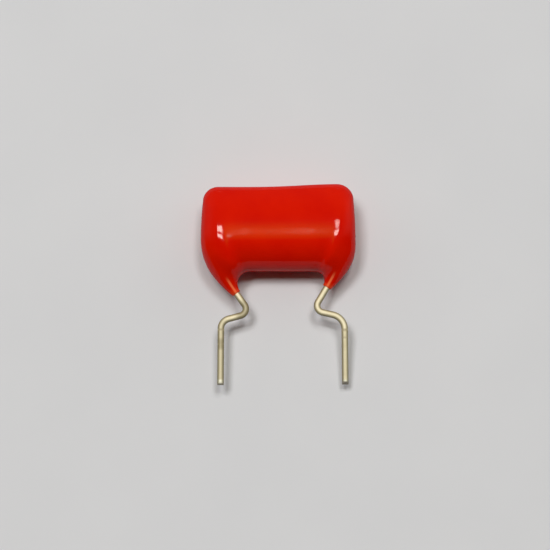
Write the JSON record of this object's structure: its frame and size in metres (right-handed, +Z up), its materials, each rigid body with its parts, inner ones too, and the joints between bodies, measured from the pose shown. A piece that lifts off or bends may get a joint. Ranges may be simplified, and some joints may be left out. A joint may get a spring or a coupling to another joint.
{
  "type": "dipped film capacitor",
  "caption": "Oblong film capacitor in a glossy dipped epoxy coat, lying flat, with kinked tinned wire leads for a circuit board and its film roll and sprayed end contacts inside.",
  "frame": {"origin": "middle of the part's box, on the surface that it lies on", "axes": "+X from the left lead to the right lead, the leads point to -Y, +Z up through the broad face"},
  "size_m": [0.0186, 0.0242, 0.0075],
  "materials": {
    "epoxy_coat": "glossy orange-red epoxy",
    "metallised_film": "satin metallised film edge",
    "sprayed_metal": "rough sprayed zinc",
    "tinned_wire": "bright tinned wire"
  },
  "bodies": {
    "root": {"coat": "epoxy_coat", "film_winding": "metallised_film", "left_end_contact": "sprayed_metal", "right_end_contact": "sprayed_metal", "left_lead": "tinned_wire", "right_lead": "tinned_wire"}
  },
  "joints": []
}
